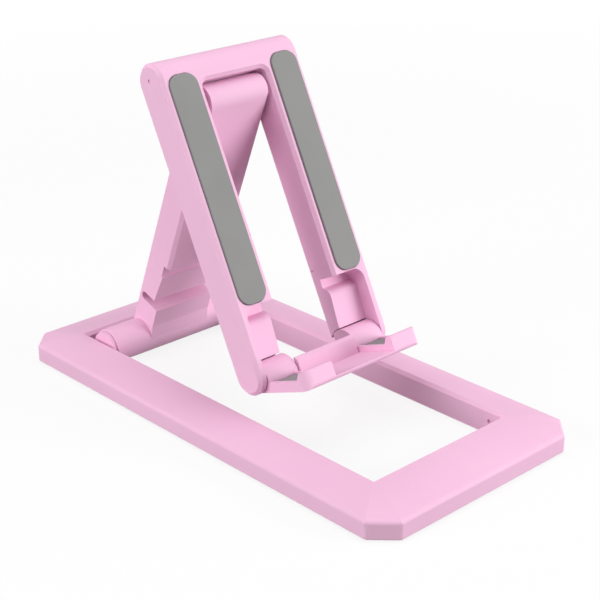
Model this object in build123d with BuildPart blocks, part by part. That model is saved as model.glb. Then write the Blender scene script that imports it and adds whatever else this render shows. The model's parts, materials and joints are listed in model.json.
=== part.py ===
from build123d import *

import os
from math import cos, radians, sin, sqrt

# Folding stand for a phone or a small tablet, in millimetres.
# The origin is on the table under the middle of the base. +Z is up, -Y is the
# front, where the phone is seen, and +X is the user's right.

# Base frame
base_length = 145.0
base_width = 72.5
corner_cut = 6.0
corner_round = 1.4
front_bar = 15.5
rear_bar = 13.35
side_bar = 12.55
base_height = 7.2
base_edge_height = 5.0
shoulder_round = 1.2
underside_round = 0.4
opening_bevel = 0.9
foot_proud = 0.4
stop_hole_radius = 0.5
stop_hole_depth = 0.8
stop_hole_inset = 4.2
stop_hole_height = 3.8

# Underside of the base
rim = 2.4
cover_ledge = 0.9
cover_thickness = 1.2
cavity_height = 4.2
hinge_block = 12.0
cover_gap = 0.12
foot_length = 14.0
foot_width = 5.6
foot_sunk = 0.6
foot_inset = 11.5
base_screw_spread = 58.0

# Screws
screw_radius = 1.0
screw_head_radius = 1.8
screw_head_height = 0.9
screw_bite = 1.8
screw_post_radius = 2.2
thread_gap = 0.03

# Arm
arm_angle = 68.0
arm_length = 82.2
arm_thickness = 8.8
arm_width = 20.8
arm_end_width = 19.6
arm_end_length = 6.0
arm_bevel = 0.9
knuckle_radius = 5.2
knuckle_gap = 1.5
hinge_setback = 21.2
arm_wall = 1.9
arm_side_wall = 2.2
arm_cover_thickness = 1.1
arm_cover_low = 31.0
arm_cover_below_top = 10.2
arm_screw_inset = 5.0

# Pins and washers
pin_radius = 1.1
pin_gap = 0.04
pin_in_base = 5.2
pin_in_knuckle = 9.0
washer_radius = 4.6
washer_gap = 0.15
tilt_pin_radius = 1.5
tilt_head_radius = 2.6
tilt_head_height = 1.6
tilt_nut_size = 5.0
tilt_nut_height = 2.0
tilt_thread_end = 1.0
tilt_washer_radius = 2.8
nut_room = 3.4
lip_pin_reach = 9.0
lip_pin_seat = 1.5

# Cradle plate
cradle_lean = 63.5
nest_gap = 0.3
cradle_thickness = 10.0
cradle_above = 12.7
cradle_below_lip = 2.8
cradle_bevel = 0.9
slot_gap = 0.53
slot_top = 4.75
slot_corner = 1.9
side_mark_radius = 0.5
side_mark_depth = 0.4
side_mark_height = 8.3
leg_mark_length = 1.2
leg_mark_width = 0.35
leg_mark_depth = 0.4
leg_mark_back = 3.0
leg_mark_above_lip = 22.3

# Pads
pad_slot_margin = 1.81
pad_side_margin = 1.7
pad_top = 7.6
pad_above_lip = 19.9
pad_flat = 2.4
pad_proud = 0.56
pad_sunk = 0.64
pad_gap = 0.2
pad_round = 0.2

# Back of the cradle
leg_wall = 2.0
front_wall = 2.4
back_cover_thickness = 1.2
back_ledge = 0.8
back_cavity_top = 6.6
back_cavity_above_lip = 22.5
back_corner = 1.6
cradle_screw_high = 6.0
cradle_screw_inset = 5.0

# Lip
lip_above_hinge = 8.7
pocket_wall = 2.3
lip_gap = 0.3
lip_reach = 19.1
lip_droop = 5.5
barrel_radius = 5.0
barrel_back = 2.7
plate_bottom = 2.7
plate_top = 1.0
notch_floor = 1.6
cheek_top = 0.0
cheek_wall = 1.25
upstand_top = 0.5
upstand_thickness = 1.8
upstand_root = 3.2
upstand_corner = 2.8
lip_edge_round = 0.8
lip_low_round = 1.0
lip_pad_thickness = 0.65
lip_pad_gap = 0.35
crook_round = 1.0
notch_gap = 0.3
rib_front = 5.6
rib_thickness = 1.5
rib_top = 3.5
rib_bevel = 0.8
rib_end_gap = 0.4

# Room for the folded lip
fold_gap = 0.35
groove_gap = 0.8
block_top_round = 2.0
block_tail = 3.2
tip_groove_floor = 2.3
rib_gap = 0.45
hook_back = 3.5
hook_round = 1.1

# Places worked out from the sizes above
frame_bottom = foot_proud
frame_top = frame_bottom + base_height
opening_width = base_width - 2 * side_bar
opening_length = base_length - front_bar - rear_bar
opening_y = (front_bar - rear_bar) / 2
opening_front = -base_length / 2 + front_bar
opening_rear = base_length / 2 - rear_bar
side_bar_x = (opening_width + side_bar) / 2
front_bar_y = (opening_front - base_length / 2) / 2
rear_bar_y = (opening_rear + base_length / 2) / 2
cover_top = frame_bottom + cover_thickness
cradle_width = opening_width - 2 * nest_gap
lip_width = cradle_width - 2 * (pocket_wall + lip_gap)
slot_width = arm_width + 2 * slot_gap
lip_drop = arm_length - lip_above_hinge
cradle_below = lip_drop + cradle_below_lip
pad_bottom = lip_drop - pad_above_lip
back_cavity_bottom = lip_drop - back_cavity_above_lip
cradle_screw_low = back_cavity_bottom - cradle_screw_inset
arm_cover_high = arm_length - arm_cover_below_top

base_axis_y = base_length / 2 - hinge_setback
base_axis_z = frame_bottom + knuckle_radius
arm_up = Vector(0, -cos(radians(arm_angle)), sin(radians(arm_angle)))
arm_forward = Vector(0, -sin(radians(arm_angle)), -cos(radians(arm_angle)))
cradle_up = Vector(0, cos(radians(cradle_lean)), sin(radians(cradle_lean)))
cradle_forward = Vector(0, -sin(radians(cradle_lean)), cos(radians(cradle_lean)))
base_axis = Vector(0, base_axis_y, base_axis_z)
tilt_axis = base_axis + arm_up * arm_length
lip_axis = tilt_axis - cradle_up * lip_drop

arm_half = arm_thickness / 2
cradle_half = cradle_thickness / 2
slot_half = slot_width / 2
notch_half = arm_width / 2 + notch_gap
pad_inner = slot_half + pad_slot_margin
pad_outer = cradle_width / 2 - pad_side_margin
pad_corner = (pad_outer - pad_inner - pad_flat) / 2
pocket_half = (lip_width + 2 * lip_gap) / 2
pocket_top = lip_drop - lip_reach - fold_gap
lip_tip_height = arm_length - pocket_top
groove_bottom = lip_drop - lip_reach + upstand_root + fold_gap
groove_back_low = lip_drop - lip_reach + upstand_thickness + fold_gap
block_bottom = lip_drop - block_tail
rib_back = rib_front - rib_thickness
upstand_back = lip_reach - upstand_root
upstand_edge = lip_reach - upstand_thickness


def front_view(origin, forward, height=0.0):
    """A plane facing forward, with x to the user's right and y up the piece."""
    return Plane(origin=origin + forward * height, x_dir=(1, 0, 0), z_dir=forward)


def side_view(origin, forward):
    """A plane across the piece, with x forward and y up the piece."""
    return Plane(origin=origin, x_dir=forward, z_dir=(-1, 0, 0))


def arm_face(height):
    return front_view(base_axis, arm_forward, height)


def cradle_face(height):
    return front_view(tilt_axis, cradle_forward, height)


def tray_height(above, forward):
    """The height of a line that runs along the drooping plate."""
    droop = radians(lip_droop)
    return (above - forward * sin(droop)) / cos(droop)


def base_outline():
    """The outer outline of the base, with its four corners cut off."""
    Rectangle(base_width, base_length)
    chamfer(vertices(), length=corner_cut)
    fillet(vertices(), radius=corner_round)


def base_ring(inset):
    """The ring between the outline and the opening, inset from both."""
    base_outline()
    offset(amount=-inset, kind=Kind.INTERSECTION, mode=Mode.REPLACE)
    with Locations((0, opening_y)):
        Rectangle(opening_width + 2 * inset, opening_length + 2 * inset, mode=Mode.SUBTRACT)


def crown(outer, inner_low, inner_high):
    """A section whose top falls in an arc from the opening to the outer edge."""
    edge = frame_bottom + base_edge_height
    with BuildLine() as outline:
        TangentArc((inner_high, frame_top), (outer, edge), tangent=(1, 0))
        Polyline((outer, edge), (outer, frame_bottom), (-outer, frame_bottom), (-outer, edge))
        TangentArc((inner_low, frame_top), (-outer, edge), tangent=(-1, 0))
        Line((inner_low, frame_top), (inner_high, frame_top))
    make_face(outline.edges())
    shoulders = [v for v in vertices() if abs(v.Y - edge) < shoulder_round / 10]
    fillet(shoulders, radius=shoulder_round)


def screw_holes(spots, seat, thickness):
    """Sunk seats for screw heads and clearance holes through a cover."""
    with BuildSketch(seat) as heads:
        with Locations(spots):
            Circle(screw_head_radius + cover_gap)
    extrude(heads.sketch, amount=screw_head_height, mode=Mode.SUBTRACT)
    with BuildSketch(seat) as holes:
        with Locations(spots):
            Circle(screw_radius + thread_gap)
    extrude(holes.sketch, amount=thickness, mode=Mode.SUBTRACT)


corner_reach = (base_width / 2 + base_length / 2 - corner_cut) / sqrt(2)
opening_front_corner = (opening_width / 2 - opening_front) / sqrt(2)
opening_rear_corner = (opening_width / 2 + opening_rear) / sqrt(2)

base_screw_spots = [(0, front_bar_y), (0, rear_bar_y)]
for side in (-1, 1):
    for end in (-1, 1):
        base_screw_spots.append((side * side_bar_x, end * base_screw_spread / 2))

# Base frame: one moulded ring, open underneath, with solid blocks at the hinge
with BuildPart() as base_frame:
    with BuildSketch(Plane.XY.offset(frame_bottom)):
        base_outline()
        with Locations((0, opening_y)):
            Rectangle(opening_width, opening_length, mode=Mode.SUBTRACT)
    extrude(amount=base_height)
    top_edges = edges().filter_by(lambda e: e.bounding_box().min.Z > frame_top - opening_bevel / 10)
    inside_edges = [
        e
        for e in top_edges
        if abs(abs(e.center().X) - opening_width / 2) < opening_bevel / 10
        or abs(abs(e.center().Y - opening_y) - opening_length / 2) < opening_bevel / 10
    ]
    chamfer(inside_edges, length=opening_bevel)
    bottom_edges = edges().filter_by(lambda e: e.bounding_box().max.Z < frame_bottom + opening_bevel / 10)
    outer_edges = [
        e
        for e in bottom_edges
        if abs(e.center().X) > side_bar_x or e.center().Y > rear_bar_y or e.center().Y < front_bar_y
    ]
    fillet(outer_edges, radius=underside_round)
    with BuildSketch(Plane.XZ):
        crown(base_width / 2, -opening_width / 2, opening_width / 2)
    extrude(amount=base_length / 2, both=True, mode=Mode.INTERSECT)
    with BuildSketch(Plane.YZ):
        crown(base_length / 2, opening_front, opening_rear)
    extrude(amount=base_width / 2, both=True, mode=Mode.INTERSECT)
    with BuildSketch(Plane(origin=(0, 0, 0), x_dir=(1, -1, 0), z_dir=(-1, -1, 0))):
        crown(corner_reach, -opening_rear_corner, opening_front_corner)
    extrude(amount=base_length, both=True, mode=Mode.INTERSECT)
    with BuildSketch(Plane(origin=(0, 0, 0), x_dir=(1, 1, 0), z_dir=(1, -1, 0))):
        crown(corner_reach, -opening_front_corner, opening_rear_corner)
    extrude(amount=base_length, both=True, mode=Mode.INTERSECT)
    with BuildSketch(Plane.XY.offset(frame_bottom)):
        base_ring(rim)
        for side in (-1, 1):
            with Locations((side * side_bar_x, base_axis_y)):
                Rectangle(side_bar, hinge_block, mode=Mode.SUBTRACT)
        with Locations(base_screw_spots):
            Circle(screw_post_radius, mode=Mode.SUBTRACT)
    extrude(amount=cavity_height, mode=Mode.SUBTRACT)
    with BuildSketch(Plane.XY.offset(frame_bottom)):
        base_ring(rim - cover_ledge)
    extrude(amount=cover_thickness, mode=Mode.SUBTRACT)
    with BuildSketch(Plane.XY.offset(cover_top)):
        with Locations(base_screw_spots):
            Circle(screw_radius + thread_gap)
    extrude(amount=screw_bite, mode=Mode.SUBTRACT)
    with BuildSketch(Plane.YZ):
        with Locations((base_axis_y, base_axis_z)):
            Circle(pin_radius + pin_gap)
    extrude(amount=opening_width / 2 + pin_in_base, both=True, mode=Mode.SUBTRACT)
    with BuildSketch(Plane.YZ):
        with Locations((opening_front + stop_hole_inset, frame_bottom + stop_hole_height)):
            Circle(stop_hole_radius)
    extrude(amount=opening_width / 2 + stop_hole_depth, both=True, mode=Mode.SUBTRACT)
base_frame.part.label = "base_frame"

foot_spots = {
    "foot_front_left": (-side_bar_x, -base_length / 2 + foot_inset),
    "foot_front_right": (side_bar_x, -base_length / 2 + foot_inset),
    "foot_rear_left": (-side_bar_x, base_length / 2 - foot_inset),
    "foot_rear_right": (side_bar_x, base_length / 2 - foot_inset),
}

# Base cover: a flat ring let into the underside, flush with the frame
with BuildPart() as base_cover:
    with BuildSketch(Plane.XY.offset(frame_bottom)):
        base_ring(rim - cover_ledge + cover_gap)
    extrude(amount=cover_thickness)
    with BuildSketch(Plane.XY.offset(frame_bottom)):
        with Locations(list(foot_spots.values())):
            SlotOverall(foot_length + 2 * cover_gap, foot_width + 2 * cover_gap, rotation=90)
    extrude(amount=foot_sunk, mode=Mode.SUBTRACT)
    screw_holes(base_screw_spots, Plane.XY.offset(frame_bottom), cover_thickness)
base_cover.part.label = "base_cover"


def screw(spots, seat, length):
    """Pan-head screws standing on one plane, each a solid of its own."""
    with BuildPart() as made:
        with BuildSketch(seat):
            with Locations(spots):
                Circle(screw_head_radius)
        extrude(amount=screw_head_height)
        with BuildSketch(seat.offset(screw_head_height)):
            with Locations(spots):
                Circle(screw_radius)
        extrude(amount=length - screw_head_height)
        with BuildSketch(seat):
            with Locations(spots):
                Rectangle(screw_head_radius * 1.2, screw_radius / 3)
                Rectangle(screw_radius / 3, screw_head_radius * 1.2)
        extrude(amount=screw_head_height / 2, mode=Mode.SUBTRACT)
    return made.part


base_screws = screw(base_screw_spots, Plane.XY.offset(frame_bottom), cover_thickness + screw_bite)
base_screws.label = "base_screws"

# Feet: soft pads that stand proud of the underside
feet = {}
for name, spot in foot_spots.items():
    with BuildPart() as foot:
        with BuildSketch():
            with Locations(spot):
                SlotOverall(foot_length, foot_width, rotation=90)
        extrude(amount=foot_proud + foot_sunk)
        rim_edges = edges().filter_by(lambda e: e.bounding_box().max.Z < foot_proud / 10)
        fillet(rim_edges, radius=foot_proud / 2)
    feet[name] = foot.part
    feet[name].label = name

# Base hinge: a stub pin and a friction washer at each end of the knuckle
knuckle_half = opening_width / 2 - knuckle_gap
hinge_parts = {}
for name, side in (("left", -1), ("right", 1)):
    with BuildPart() as base_pin:
        with BuildSketch(Plane.YZ.offset(side * (knuckle_half - pin_in_knuckle))):
            with Locations((base_axis_y, base_axis_z)):
                Circle(pin_radius)
        extrude(amount=side * (pin_in_knuckle + knuckle_gap + pin_in_base - pin_gap))
    with BuildPart() as base_washer:
        with BuildSketch(Plane.YZ.offset(side * (knuckle_half + washer_gap))):
            with Locations((base_axis_y, base_axis_z)):
                Circle(washer_radius)
                Circle(pin_radius + pin_gap, mode=Mode.SUBTRACT)
        extrude(amount=side * (knuckle_gap - 2 * washer_gap))
    hinge_parts["base_pin_" + name] = base_pin.part
    hinge_parts["base_washer_" + name] = base_washer.part

tip_groove_low = arm_length - groove_bottom
rib_low = lip_above_hinge + rib_back
rib_high = lip_above_hinge + rib_front + rib_gap
hook_low = rib_low - rib_gap
block_front = rib_back - fold_gap
block_low = rib_low - rib_top - plate_bottom - fold_gap


def recess_floor(reach):
    """The arm's front under the folded plate, `reach` from the lip's hinge."""
    return -tray_height(-notch_floor, reach) - fold_gap


# Arm: a flat strut with a round top end, a wide knuckle at its foot and, in its
# front face, the room that the folded lip needs
with BuildPart() as arm:
    with BuildSketch(side_view(base_axis, arm_forward)):
        with Locations((0, arm_length / 2)):
            Rectangle(arm_thickness, arm_length)
        with BuildLine():
            Polyline((0, 0), (knuckle_radius, 0), (block_front, block_low), (0, block_low), close=True)
        make_face()
        with Locations((0, arm_length)):
            Circle(arm_half)
        hook_top = (-hook_back, rib_high)
        hook_bottom = (-hook_back, hook_low)
        with BuildLine():
            Polyline(
                (arm_thickness, lip_tip_height),
                (tip_groove_floor, lip_tip_height),
                (tip_groove_floor, tip_groove_low),
                (recess_floor(upstand_back), tip_groove_low),
                (recess_floor(rib_front), rib_high),
                hook_top,
                hook_bottom,
                (block_front, hook_low),
                (block_front, block_low),
                (knuckle_radius, 0),
                (arm_thickness, 0),
                close=True,
            )
        make_face(mode=Mode.SUBTRACT)
        fillet(vertices().sort_by_distance(hook_top)[0], radius=hook_round)
        fillet(vertices().sort_by_distance(hook_bottom)[0], radius=hook_round)
    extrude(amount=arm_width / 2, both=True)
    strut_foot = base_axis + arm_up * lip_tip_height
    with BuildSketch(Plane(origin=strut_foot, x_dir=(1, 0, 0), z_dir=arm_up)):
        for side in (-1, 1):
            with BuildLine():
                Polyline(
                    (side * arm_width / 2, -arm_half),
                    (side * (arm_width / 2 - arm_bevel), -arm_half),
                    (side * arm_width / 2, arm_bevel - arm_half),
                    close=True,
                )
            make_face()
    extrude(amount=arm_length, mode=Mode.SUBTRACT)
    with BuildSketch(side_view(base_axis, arm_forward)):
        Circle(knuckle_radius)
    extrude(amount=knuckle_half, both=True)
    for side in (-1, 1):
        with BuildSketch(arm_face(-arm_thickness)):
            with Locations((side * arm_width / 2, arm_length)):
                Rectangle(arm_width - arm_end_width, 2 * arm_end_length)
        extrude(amount=2 * arm_thickness, mode=Mode.SUBTRACT)
    with BuildSketch(arm_face(-arm_half)):
        with Locations((0, (arm_cover_low + arm_cover_high) / 2)):
            RectangleRounded(
                arm_width - 2 * arm_side_wall,
                arm_cover_high - arm_cover_low,
                arm_side_wall,
            )
    extrude(amount=arm_cover_thickness, mode=Mode.SUBTRACT)
    with BuildSketch(arm_face(-arm_half)):
        with Locations((0, (arm_cover_low + arm_cover_high) / 2)):
            RectangleRounded(
                arm_width - 2 * arm_side_wall - 2 * back_ledge,
                arm_cover_high - arm_cover_low - 2 * back_ledge,
                arm_side_wall - back_ledge,
            )
        arm_screw_spots = [(0, arm_cover_low + arm_screw_inset), (0, arm_cover_high - arm_screw_inset)]
        with Locations(arm_screw_spots):
            Circle(screw_post_radius, mode=Mode.SUBTRACT)
    extrude(amount=arm_thickness - arm_wall, mode=Mode.SUBTRACT)
    with BuildSketch(arm_face(-arm_half)):
        with Locations(arm_screw_spots):
            Circle(screw_post_radius)
    extrude(amount=arm_cover_thickness, mode=Mode.SUBTRACT)
    with BuildSketch(arm_face(-arm_half)):
        with Locations(arm_screw_spots):
            Circle(screw_radius + thread_gap)
    extrude(amount=arm_cover_thickness + screw_bite, mode=Mode.SUBTRACT)
    with BuildSketch(side_view(base_axis, arm_forward)):
        with Locations((0, arm_length)):
            Circle(tilt_pin_radius + pin_gap)
    extrude(amount=arm_width / 2, both=True, mode=Mode.SUBTRACT)
    for side in (-1, 1):
        with BuildSketch(Plane.YZ.offset(side * knuckle_half)):
            with Locations((base_axis_y, base_axis_z)):
                Circle(pin_radius + pin_gap)
        extrude(amount=-side * (pin_in_knuckle + pin_gap), mode=Mode.SUBTRACT)
arm.part.label = "arm"

# Arm cover: a plate let into the back of the arm, held by two screws
with BuildPart() as arm_cover:
    with BuildSketch(arm_face(-arm_half)):
        with Locations((0, (arm_cover_low + arm_cover_high) / 2)):
            RectangleRounded(
                arm_width - 2 * arm_side_wall - 2 * cover_gap,
                arm_cover_high - arm_cover_low - 2 * cover_gap,
                arm_side_wall - cover_gap,
            )
    extrude(amount=arm_cover_thickness)
    screw_holes(arm_screw_spots, arm_face(-arm_half), arm_cover_thickness)
arm_cover.part.label = "arm_cover"

arm_screws = screw(arm_screw_spots, arm_face(-arm_half), arm_cover_thickness + screw_bite)
arm_screws.label = "arm_screws"

# Tilt hinge: one headed pin through the legs and the arm, with its nut
leg_inner = slot_half + leg_wall
with BuildPart() as tilt_pin:
    with BuildSketch(Plane.YZ.offset(-leg_inner - pin_gap)):
        with Locations((tilt_axis.Y, tilt_axis.Z)):
            Circle(tilt_pin_radius)
    extrude(amount=2 * leg_inner + tilt_nut_height + tilt_thread_end + pin_gap)
    with BuildSketch(Plane.YZ.offset(-leg_inner - pin_gap)):
        with Locations((tilt_axis.Y, tilt_axis.Z)):
            Circle(tilt_head_radius)
    extrude(amount=-tilt_head_height)
tilt_pin.part.label = "tilt_pin"

with BuildPart() as tilt_nut:
    with BuildSketch(Plane.YZ.offset(leg_inner + pin_gap)):
        with Locations((tilt_axis.Y, tilt_axis.Z)):
            RegularPolygon(tilt_nut_size / 2, 6, major_radius=False)
            Circle(tilt_pin_radius + thread_gap, mode=Mode.SUBTRACT)
    extrude(amount=tilt_nut_height)
tilt_nut.part.label = "tilt_nut"

for name, side in (("left", -1), ("right", 1)):
    with BuildPart() as tilt_washer:
        with BuildSketch(Plane.YZ.offset(side * (arm_end_width / 2 + washer_gap))):
            with Locations((tilt_axis.Y, tilt_axis.Z)):
                Circle(tilt_washer_radius)
                Circle(tilt_pin_radius + pin_gap, mode=Mode.SUBTRACT)
        extrude(amount=side * (slot_half - arm_end_width / 2 - 2 * washer_gap))
    hinge_parts["tilt_washer_" + name] = tilt_washer.part


def pad_outline(grow):
    """Both pads, seen from the front, grown all round."""
    for side in (-1, 1):
        with Locations((side * (pad_inner + pad_outer) / 2, (pad_top - pad_bottom) / 2)):
            RectangleRounded(
                pad_outer - pad_inner + 2 * grow,
                pad_top + pad_bottom + 2 * grow,
                pad_corner + grow,
            )


def back_outline(shrink):
    """The two long openings in the back of the legs, shrunk all round."""
    outer = cradle_width / 2 - leg_wall
    for side in (-1, 1):
        with Locations((side * (leg_inner + outer) / 2, (back_cavity_top - back_cavity_bottom) / 2)):
            RectangleRounded(
                outer - leg_inner - 2 * shrink,
                back_cavity_top + back_cavity_bottom - 2 * shrink,
                back_corner - shrink,
            )


def block_front_height(reach):
    """The front of the block under the folded cheeks."""
    return -tray_height(cheek_top, reach) - fold_gap


cradle_screw_x = (leg_inner + cradle_width / 2 - leg_wall) / 2
cradle_screw_spots = [
    (side * cradle_screw_x, -down) for side in (-1, 1) for down in (cradle_screw_high, cradle_screw_low)
]
cavity_depth = cradle_thickness - front_wall
past_end = cradle_below + cradle_half

# Cradle: a plate with full round ends and a slot that the arm folds into. Each
# leg ends in a pocket for the lip, closed on its outer side.
with BuildPart() as cradle:
    with BuildSketch(side_view(tilt_axis, cradle_forward)):
        with Locations((0, (cradle_above - cradle_below) / 2)):
            SlotOverall(cradle_above + cradle_below, cradle_thickness, rotation=90)
    extrude(amount=cradle_width / 2, both=True)
    side_edges = edges().filter_by(lambda e: abs(abs(e.center().X) - cradle_width / 2) < cradle_bevel / 10)
    chamfer(side_edges, length=cradle_bevel)
    with BuildSketch(cradle_face(-cradle_thickness)):
        with Locations((0, slot_top - past_end / 2)):
            RectangleRounded(slot_width, past_end, slot_corner)
        with Locations((0, slot_top - past_end)):
            Rectangle(slot_width, past_end)
    extrude(amount=2 * cradle_thickness, mode=Mode.SUBTRACT)
    slot_edges = edges().filter_by(
        lambda e: abs(abs((e.center() - tilt_axis).dot(cradle_forward)) - cradle_half) < cradle_bevel / 10
        and abs(e.center().X) < slot_half + cradle_bevel / 10
        and (e.center() - tilt_axis).dot(cradle_up) < slot_top + cradle_bevel / 10
    )
    chamfer(slot_edges, length=cradle_bevel)
    for side in (-1, 1):
        with BuildSketch(side_view(tilt_axis + Vector(side * pocket_half, 0, 0), cradle_forward)):
            groove_front = -upstand_top - groove_gap
            block_high = (block_front_height(lip_drop - groove_bottom), -groove_bottom)
            with BuildLine():
                Polyline(
                    (cradle_thickness, -pocket_top),
                    (groove_front, -pocket_top),
                    (groove_front, -groove_back_low),
                    block_high,
                    (block_front_height(block_tail), -block_bottom),
                    (-cradle_thickness, -block_bottom),
                    (-cradle_thickness, -past_end),
                    (cradle_thickness, -past_end),
                    close=True,
                )
            make_face()
            fillet(vertices().sort_by_distance(block_high)[0], radius=block_top_round)
            with Locations((0, -lip_drop)):
                Circle(barrel_radius + fold_gap)
        extrude(amount=side * (pocket_half - slot_half / 2), mode=Mode.SUBTRACT)
    pocket_edges = edges().filter_by(
        lambda e: abs(abs(e.center().X) - pocket_half) < pad_gap / 10
        and abs((e.center() - tilt_axis).dot(cradle_up) + pocket_top) < pad_gap / 10
    )
    fillet(pocket_edges, radius=upstand_corner + fold_gap)
    with BuildSketch(cradle_face(cradle_half)):
        pad_outline(pad_gap)
    extrude(amount=-pad_sunk, mode=Mode.SUBTRACT)
    with BuildSketch(cradle_face(-cradle_half)):
        back_outline(back_ledge)
        with Locations(cradle_screw_spots):
            Circle(screw_post_radius, mode=Mode.SUBTRACT)
    extrude(amount=cavity_depth, mode=Mode.SUBTRACT)
    with BuildSketch(cradle_face(-cradle_half)):
        for side in (-1, 1):
            with Locations((side * (leg_inner + back_ledge), 0)):
                Rectangle(2 * back_ledge, 2 * nut_room)
    extrude(amount=cradle_half + nut_room, mode=Mode.SUBTRACT)
    with BuildSketch(cradle_face(-cradle_half)):
        back_outline(0)
    extrude(amount=back_cover_thickness, mode=Mode.SUBTRACT)
    with BuildSketch(cradle_face(-cradle_half)):
        with Locations(cradle_screw_spots):
            Circle(screw_radius + thread_gap)
    extrude(amount=back_cover_thickness + screw_bite, mode=Mode.SUBTRACT)
    with BuildSketch(Plane.YZ):
        with Locations((tilt_axis.Y, tilt_axis.Z)):
            Circle(tilt_pin_radius + pin_gap)
    extrude(amount=leg_inner + leg_wall, both=True, mode=Mode.SUBTRACT)
    with BuildSketch(Plane.YZ):
        with Locations((lip_axis.Y, lip_axis.Z)):
            Circle(pin_radius + pin_gap)
    extrude(amount=pocket_half + lip_pin_seat, both=True, mode=Mode.SUBTRACT)
    mark = tilt_axis + cradle_up * side_mark_height
    for side in (-1, 1):
        with BuildSketch(Plane.YZ.offset(side * cradle_width / 2)):
            with Locations((mark.Y, mark.Z)):
                Circle(side_mark_radius)
        extrude(amount=-side * side_mark_depth, mode=Mode.SUBTRACT)
        with BuildSketch(side_view(tilt_axis + Vector(side * slot_half, 0, 0), cradle_forward)):
            with Locations((-leg_mark_back, leg_mark_above_lip - lip_drop)):
                Rectangle(leg_mark_length, leg_mark_width)
        extrude(amount=-side * leg_mark_depth, mode=Mode.SUBTRACT)
cradle.part.label = "cradle"

# Leg covers: long plates let into the back of the cradle, held by screws
back_covers = {}
for name, side in (("cradle_cover_left", -1), ("cradle_cover_right", 1)):
    with BuildPart() as back_cover:
        with BuildSketch(cradle_face(-cradle_half)):
            back_outline(cover_gap)
            with Locations((-side * cradle_width / 2, 0)):
                Rectangle(cradle_width, 2 * past_end, mode=Mode.SUBTRACT)
        extrude(amount=back_cover_thickness)
        screw_holes(cradle_screw_spots, cradle_face(-cradle_half), back_cover_thickness)
    back_covers[name] = back_cover.part

cradle_screws = screw(cradle_screw_spots, cradle_face(-cradle_half), back_cover_thickness + screw_bite)
cradle_screws.label = "cradle_screws"

# Pads: soft sheets let into the front of the legs, standing proud of it
pads = {}
for name, side in (("pad_left", -1), ("pad_right", 1)):
    with BuildPart() as pad:
        with BuildSketch(cradle_face(cradle_half - pad_sunk)):
            pad_outline(0)
            with Locations((-side * cradle_width / 2, 0)):
                Rectangle(cradle_width, 2 * past_end, mode=Mode.SUBTRACT)
        extrude(amount=pad_sunk + pad_proud)
        front_edges = edges().filter_by(
            lambda e: abs((e.center() - tilt_axis).dot(cradle_forward) - cradle_half - pad_proud) < pad_gap / 10
        )
        fillet(front_edges, radius=pad_round)
    pads[name] = pad.part

lip_front_low = (lip_reach, tray_height(-plate_bottom, lip_reach))
tray_inner = notch_half + cheek_wall
tray_outer = lip_width / 2 - cheek_wall

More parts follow.
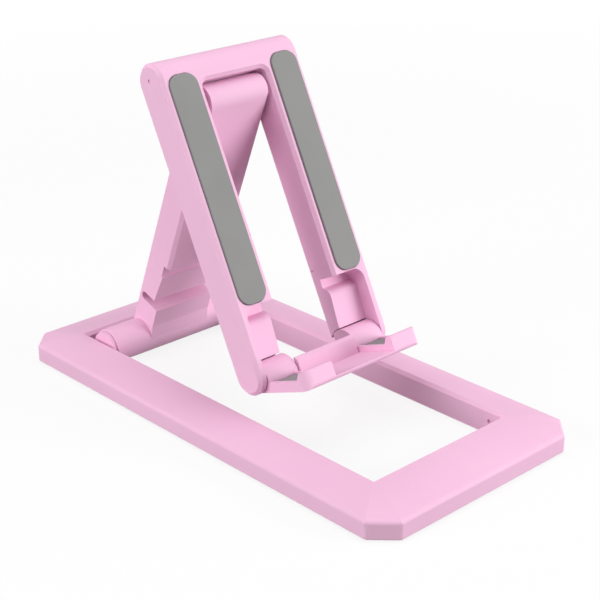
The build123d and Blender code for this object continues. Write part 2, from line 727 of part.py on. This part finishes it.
# Lip: a drooping plate with an upstand across its front, notched for a cable.
# Two barrels carry it on pins, and a rib between them meets the arm's groove.
with BuildPart() as lip:
    with BuildSketch(side_view(lip_axis, cradle_forward)):
        Circle(barrel_radius)
        with Locations((lip_reach / 2 - barrel_back, 0)):
            Rectangle(lip_reach, 2 * lip_reach, mode=Mode.INTERSECT)
        with BuildLine():
            Polyline(
                (-lip_reach, tray_height(-plate_bottom, -lip_reach)),
                (lip_reach, tray_height(-plate_bottom, lip_reach)),
                (lip_reach, -lip_reach),
                (-lip_reach, -lip_reach),
                close=True,
            )
        make_face(mode=Mode.SUBTRACT)
        with BuildLine():
            Polyline(
                (0, tray_height(-plate_bottom, 0)),
                lip_front_low,
                (lip_reach, upstand_top),
                (upstand_edge, upstand_top),
                (upstand_back, tray_height(cheek_top, upstand_back)),
                (0, tray_height(cheek_top, 0)),
                close=True,
            )
        make_face()
        fillet(vertices().sort_by_distance(lip_front_low)[0], radius=lip_low_round)
        fillet(vertices().sort_by_distance((lip_reach, upstand_top))[0], radius=lip_edge_round)
        fillet(vertices().sort_by_distance((upstand_edge, upstand_top))[0], radius=lip_edge_round)
        fillet(
            vertices().sort_by_distance((upstand_back, tray_height(cheek_top, upstand_back)))[0],
            radius=crook_round,
        )
    extrude(amount=lip_width / 2, both=True)
    for side in (-1, 1):
        with BuildSketch(Plane.YZ.offset(side * lip_width / 2)):
            with Locations((lip_axis.Y, lip_axis.Z)):
                Circle(pin_radius + pin_gap)
        extrude(amount=-side * (lip_pin_reach + pin_gap), mode=Mode.SUBTRACT)
    with BuildSketch(side_view(lip_axis, cradle_forward)):
        with Locations((upstand_back, 0)):
            Rectangle(3 * lip_reach, 2 * lip_reach)
    extrude(amount=notch_half, both=True, mode=Mode.SUBTRACT)
    with BuildSketch(side_view(lip_axis, cradle_forward)):
        with BuildLine():
            Polyline(
                (rib_back, tray_height(-plate_bottom, rib_back)),
                lip_front_low,
                (lip_reach, tray_height(-notch_floor, lip_reach)),
                (rib_back, tray_height(-notch_floor, rib_back)),
                close=True,
            )
        make_face()
        fillet(vertices().sort_by_distance(lip_front_low)[0], radius=lip_low_round)
    extrude(amount=notch_half, both=True)
    with BuildSketch(side_view(lip_axis, cradle_forward)):
        with BuildLine():
            Polyline(
                (rib_back, tray_height(-plate_bottom, rib_back)),
                (rib_front, tray_height(-plate_bottom, rib_front)),
                (rib_front, tray_height(rib_top - rib_bevel, rib_front)),
                (rib_front - rib_bevel, tray_height(rib_top, rib_front - rib_bevel)),
                (rib_back, tray_height(rib_top, rib_back)),
                close=True,
            )
        make_face()
    extrude(amount=notch_half - rib_end_gap, both=True)
    for side in (-1, 1):
        with BuildSketch(side_view(lip_axis + Vector(side * tray_outer, 0, 0), cradle_forward)):
            with BuildLine():
                Polyline(
                    (0, tray_height(-plate_top, 0)),
                    (upstand_back, tray_height(-plate_top, upstand_back)),
                    (upstand_back, lip_reach),
                    (0, lip_reach),
                    close=True,
                )
            make_face()
            Circle(barrel_radius, mode=Mode.SUBTRACT)
        extrude(amount=side * (tray_outer - tray_inner), mode=Mode.SUBTRACT)
    with BuildSketch(Plane(origin=lip_axis, x_dir=(1, 0, 0), z_dir=cradle_up)):
        RectangleRounded(lip_width, 2 * lip_reach, upstand_corner)
    extrude(amount=lip_reach, both=True, mode=Mode.INTERSECT)
lip.part.label = "lip"

# Lip pads: soft sheets on the floors of the lip's two pockets
for name, side in (("lip_pad_left", -1), ("lip_pad_right", 1)):
    with BuildPart() as lip_pad:
        with BuildSketch(side_view(lip_axis + Vector(side * (tray_outer - lip_pad_gap), 0, 0), cradle_forward)):
            with BuildLine():
                Polyline(
                    (0, tray_height(-plate_top, 0)),
                    (upstand_back - crook_round, tray_height(-plate_top, upstand_back - crook_round)),
                    (
                        upstand_back - crook_round,
                        tray_height(lip_pad_thickness - plate_top, upstand_back - crook_round),
                    ),
                    (0, tray_height(lip_pad_thickness - plate_top, 0)),
                    close=True,
                )
            make_face()
            Circle(barrel_radius + lip_pad_gap, mode=Mode.SUBTRACT)
        extrude(amount=side * (tray_outer - tray_inner - 2 * lip_pad_gap))
    pads[name] = lip_pad.part

for name, side in (("left", -1), ("right", 1)):
    with BuildPart() as lip_pin:
        with BuildSketch(Plane.YZ.offset(side * (lip_width / 2 - lip_pin_reach))):
            with Locations((lip_axis.Y, lip_axis.Z)):
                Circle(pin_radius)
        extrude(amount=side * (lip_pin_reach + lip_gap + lip_pin_seat - pin_gap))
    hinge_parts["lip_pin_" + name] = lip_pin.part

for name, piece in {**hinge_parts, **back_covers, **pads}.items():
    piece.label = name

os.makedirs("parts", exist_ok=True)
export_step(base_frame.part, "parts/base_frame.step")
export_step(base_cover.part, "parts/base_cover.step")
export_step(base_screws, "parts/base_screws.step")
export_step(arm.part, "parts/arm.step")
export_step(arm_cover.part, "parts/arm_cover.step")
export_step(arm_screws, "parts/arm_screws.step")
export_step(tilt_pin.part, "parts/tilt_pin.step")
export_step(tilt_nut.part, "parts/tilt_nut.step")
export_step(cradle.part, "parts/cradle.step")
export_step(cradle_screws, "parts/cradle_screws.step")
export_step(lip.part, "parts/lip.step")
for name, piece in {**feet, **hinge_parts, **back_covers, **pads}.items():
    export_step(piece, "parts/" + name + ".step")
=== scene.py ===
import json
import math

import bpy
from mathutils import Matrix, Vector

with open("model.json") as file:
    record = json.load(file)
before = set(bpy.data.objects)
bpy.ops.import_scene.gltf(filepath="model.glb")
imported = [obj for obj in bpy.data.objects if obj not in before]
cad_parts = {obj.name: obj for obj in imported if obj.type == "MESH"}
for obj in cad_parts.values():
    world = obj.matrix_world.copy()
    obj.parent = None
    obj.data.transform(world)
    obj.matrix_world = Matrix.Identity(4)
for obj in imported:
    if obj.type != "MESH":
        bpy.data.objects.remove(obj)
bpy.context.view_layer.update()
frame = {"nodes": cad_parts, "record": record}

nodes = frame["nodes"]
scene = bpy.context.scene


class Build:
    """A material under construction: its nodes and the links between them."""

    def __init__(self, name):
        self.material = bpy.data.materials.new(name)
        self.material.use_nodes = True
        self.tree = self.material.node_tree
        self.shader = self.tree.nodes["Principled BSDF"]
        self.coords = self.add("ShaderNodeTexCoord").outputs["Object"]

    def add(self, kind, **values):
        node = self.tree.nodes.new(kind)
        for name, value in values.items():
            setattr(node, name, value)
        return node

    def link(self, source, target):
        self.tree.links.new(source, target)

    def set(self, name, value):
        """Sets a shader value that is the same all over the surface."""
        self.shader.inputs[name].default_value = value

    def feed(self, name, source):
        """Lets a node's output vary a shader value over the surface."""
        self.link(source, self.shader.inputs[name])

    def noise(self, scale, detail, roughness=0.5):
        """Noise of about one cell in 1 / scale metres."""
        node = self.add("ShaderNodeTexNoise")
        node.inputs["Scale"].default_value = scale
        node.inputs["Detail"].default_value = detail
        node.inputs["Roughness"].default_value = roughness
        self.link(self.coords, node.inputs["Vector"])
        return node.outputs["Fac"]

    def spread(self, source, low, high, start=0.3, end=0.7):
        """Stretches the part of a noise from start to end to run from low to high."""
        node = self.add("ShaderNodeMapRange")
        node.inputs["From Min"].default_value = start
        node.inputs["From Max"].default_value = end
        node.inputs["To Min"].default_value = low
        node.inputs["To Max"].default_value = high
        self.link(source, node.inputs["Value"])
        return node.outputs["Result"]

    def mix(self, factor, first, second):
        node = self.add("ShaderNodeMix", data_type="RGBA")
        node.inputs["A"].default_value = first
        node.inputs["B"].default_value = second
        self.link(factor, node.inputs["Factor"])
        return node.outputs["Result"]

    def bump(self, height, distance, strength, after=None):
        """Raises the surface by distance metres at most, over the bump in after."""
        node = self.add("ShaderNodeBump")
        node.inputs["Strength"].default_value = strength
        node.inputs["Distance"].default_value = distance
        self.link(height, node.inputs["Height"])
        if after is not None:
            self.link(after, node.inputs["Normal"])
        return node.outputs["Normal"]


def linear(red, green, blue):
    """A colour given in 8-bit sRGB, as the shader's linear values."""

    def one(value):
        value = value / 255
        return value / 12.92 if value <= 0.04045 else ((value + 0.055) / 1.055) ** 2.4

    return (one(red), one(green), one(blue), 1.0)


def plastic(name, dark, light):
    """Pale moulded plastic with a fine spark-eroded grain and faint clouding."""
    m = Build(name)
    cloud = m.noise(scale=28, detail=3)
    m.feed("Base Color", m.mix(m.spread(cloud, low=0, high=1), dark, light))
    grain = m.noise(scale=5200, detail=2, roughness=0.6)
    swell = m.noise(scale=160, detail=2)
    m.feed("Roughness", m.spread(grain, low=0.5, high=0.6))
    fine = m.bump(grain, distance=0.00003, strength=0.12)
    m.feed("Normal", m.bump(swell, distance=0.00004, strength=0.05, after=fine))
    m.set("IOR", 1.46)
    m.set("Specular IOR Level", 0.22)
    return m.material


def rubber(name, dark, light):
    """Soft rubber or nylon: no gloss, a close grain and faint clouding."""
    m = Build(name)
    speck = m.noise(scale=3800, detail=4, roughness=0.7)
    cloud = m.noise(scale=60, detail=2)
    m.feed("Base Color", m.mix(m.spread(cloud, low=0, high=1), dark, light))
    m.feed("Roughness", m.spread(speck, low=0.78, high=0.9))
    m.feed("Normal", m.bump(speck, distance=0.00004, strength=0.2))
    m.set("Specular IOR Level", 0.2)
    return m.material


def steel(name, dark, light):
    """Steel of pins and screws, with fine marks all over."""
    m = Build(name)
    marks = m.noise(scale=2400, detail=3, roughness=0.6)
    m.feed("Base Color", m.mix(m.spread(marks, low=0, high=1), dark, light))
    m.set("Metallic", 1.0)
    m.feed("Roughness", m.spread(marks, low=0.26, high=0.42))
    m.feed("Normal", m.bump(marks, distance=0.00002, strength=0.15))
    return m.material


# One material for each of the record's slots
finishes = {
    "shell": plastic("shell_plastic", linear(238, 189, 218), linear(242, 193, 222)),
    "pad": rubber("pad_rubber", linear(142, 142, 141), linear(146, 146, 145)),
    "washer": rubber("washer_nylon", linear(74, 68, 72), linear(84, 78, 82)),
    "steel": steel("pin_steel", (0.36, 0.35, 0.34, 1), (0.52, 0.51, 0.5, 1)),
}
for entry in frame["record"]["subparts"]:
    mesh = nodes[entry["node"]].data
    mesh.materials.clear()
    mesh.materials.append(finishes[entry["material_slot"]])

# Camera, from the photo's vanishing lines and the stand's own proportions.
# FOCAL and CENTRE, the place of the origin in the frame, are in pixels.
AZIMUTH = math.radians(-43.005)
ELEVATION = math.radians(23.159)
ROLL = math.radians(-0.373)
FOCAL = 1462.193
DEPTH = 0.404178
CENTRE = (285.207, 396.494)
SIZE = 600
LIFT = 0.0004
SENSOR = 36
NEAREST = 0.01
FURTHEST = 20

back = Vector(
    (
        math.sin(AZIMUTH) * math.cos(ELEVATION),
        -math.cos(AZIMUTH) * math.cos(ELEVATION),
        math.sin(ELEVATION),
    )
)
right = (-back).cross(Vector((0, 0, 1))).normalized()
up = right.cross(-back)
turned_right = right * math.cos(ROLL) + up * math.sin(ROLL)
turned_up = up * math.cos(ROLL) - right * math.sin(ROLL)
offset = Vector(
    (
        (CENTRE[0] - SIZE / 2) / FOCAL * DEPTH,
        -(CENTRE[1] - SIZE / 2) / FOCAL * DEPTH,
        -DEPTH,
    )
)
place = -(turned_right * offset.x + turned_up * offset.y + back * offset.z)
place.z += LIFT

camera_data = bpy.data.cameras.new("camera")
camera_data.sensor_width = SENSOR
camera_data.lens = FOCAL / SIZE * SENSOR
camera_data.clip_start = NEAREST
camera_data.clip_end = FURTHEST
camera = bpy.data.objects.new("camera", camera_data)
scene.collection.objects.link(camera)
turn = Matrix((turned_right, turned_up, back)).transposed()
camera.matrix_world = Matrix.Translation(place) @ turn.to_4x4()
scene.camera = camera
scene.view_settings.view_transform = "Standard"


def seen_rays(tree):
    """One where a ray comes from the camera, a mirror or a clear piece, else zero."""
    path = tree.nodes.new("ShaderNodeLightPath")
    total = path.outputs["Is Camera Ray"]
    for name in ("Is Glossy Ray", "Is Transmission Ray"):
        add = tree.nodes.new("ShaderNodeMath")
        add.operation = "ADD"
        add.use_clamp = True
        tree.links.new(total, add.inputs[0])
        tree.links.new(path.outputs[name], add.inputs[1])
        total = add.outputs[0]
    return total


def mix_shaders(tree, factor, first, second):
    """Blends two shaders by a number or by a socket."""
    node = tree.nodes.new("ShaderNodeMixShader")
    if isinstance(factor, float):
        node.inputs["Fac"].default_value = factor
    else:
        tree.links.new(factor, node.inputs["Fac"])
    tree.links.new(first, node.inputs[1])
    tree.links.new(second, node.inputs[2])
    return node.outputs["Shader"]


def grey_shader(tree, kind, level, strength=None):
    """A shader of one grey, with a strength where it gives light."""
    node = tree.nodes.new(kind)
    node.inputs["Color"].default_value = (level, level, level, 1)
    if strength is not None:
        node.inputs["Strength"].default_value = strength
    return node.outputs[0]


def far_away(tree, start, end):
    """Rises from zero to one as a point of the floor gets further from the object."""
    length = tree.nodes.new("ShaderNodeVectorMath")
    length.operation = "LENGTH"
    tree.links.new(tree.nodes.new("ShaderNodeTexCoord").outputs["Object"], length.inputs[0])
    ramp = tree.nodes.new("ShaderNodeMapRange")
    ramp.inputs["From Min"].default_value = start
    ramp.inputs["From Max"].default_value = end
    tree.links.new(length.outputs["Value"], ramp.inputs["Value"])
    return ramp.outputs["Result"]


# Ground: white with a faint shadow to the eye, a pale matt surface to the light
FLOOR_HALF = 3.0
SHADOW_FADE = (0.22, 0.5)
FLOOR_BOUNCE = 0.25
FLOOR_SHOWN = 0.95
FLOOR_GLOW = 0.85
floor_mesh = bpy.data.meshes.new("floor")
floor_mesh.from_pydata(
    [
        (-FLOOR_HALF, -FLOOR_HALF, 0),
        (FLOOR_HALF, -FLOOR_HALF, 0),
        (FLOOR_HALF, FLOOR_HALF, 0),
        (-FLOOR_HALF, FLOOR_HALF, 0),
    ],
    [],
    [(0, 1, 2, 3)],
)
floor = bpy.data.objects.new("floor", floor_mesh)
scene.collection.objects.link(floor)
floor_material = bpy.data.materials.new("floor_white")
floor_material.use_nodes = True
tree = floor_material.node_tree
tree.nodes.clear()
bounce = grey_shader(tree, "ShaderNodeBsdfDiffuse", FLOOR_BOUNCE)
lit = grey_shader(tree, "ShaderNodeBsdfDiffuse", FLOOR_SHOWN)
glow = grey_shader(tree, "ShaderNodeEmission", level=1.0, strength=1.0)
near = mix_shaders(tree, FLOOR_GLOW, lit, glow)
shown = mix_shaders(tree, far_away(tree, *SHADOW_FADE), near, glow)
output = tree.nodes.new("ShaderNodeOutputMaterial")
tree.links.new(mix_shaders(tree, seen_rays(tree), bounce, shown), output.inputs["Surface"])
floor_mesh.materials.append(floor_material)

# Even light from all round, white where the eye looks past the floor
SKY_LEVEL = 0.3
world = bpy.data.worlds.new("world")
scene.world = world
world.use_nodes = True
tree = world.node_tree
tree.nodes.clear()
sky = grey_shader(tree, "ShaderNodeBackground", level=1.0, strength=SKY_LEVEL)
backdrop = grey_shader(tree, "ShaderNodeBackground", level=1.0, strength=1.0)
output = tree.nodes.new("ShaderNodeOutputWorld")
tree.links.new(mix_shaders(tree, seen_rays(tree), sky, backdrop), output.inputs["Surface"])

# Lamps, all aimed at the middle of the stand
MIDDLE = Vector((0, 0, 0.04))


def softbox(name, direction, level, size, reach=1.0):
    """A square lamp `reach` away that lights a white surface facing it to `level`."""
    data = bpy.data.lights.new(name, "AREA")
    data.shape = "SQUARE"
    data.size = size
    data.energy = level * (math.pi * reach) ** 2
    lamp = bpy.data.objects.new(name, data)
    scene.collection.objects.link(lamp)
    way = Vector(direction).normalized()
    lamp.location = MIDDLE + way * reach
    lamp.rotation_euler = way.to_track_quat("Z", "Y").to_euler()
    return lamp


softbox("front_right", direction=(0.62, -0.84, 0.15), level=1.15, size=0.7)
softbox("rear_left", direction=(-0.63, 0.13, 0.16), level=0.66, size=0.6)
softbox("overhead", direction=(0.0, 0.0, 1.0), level=0.47, size=0.9)
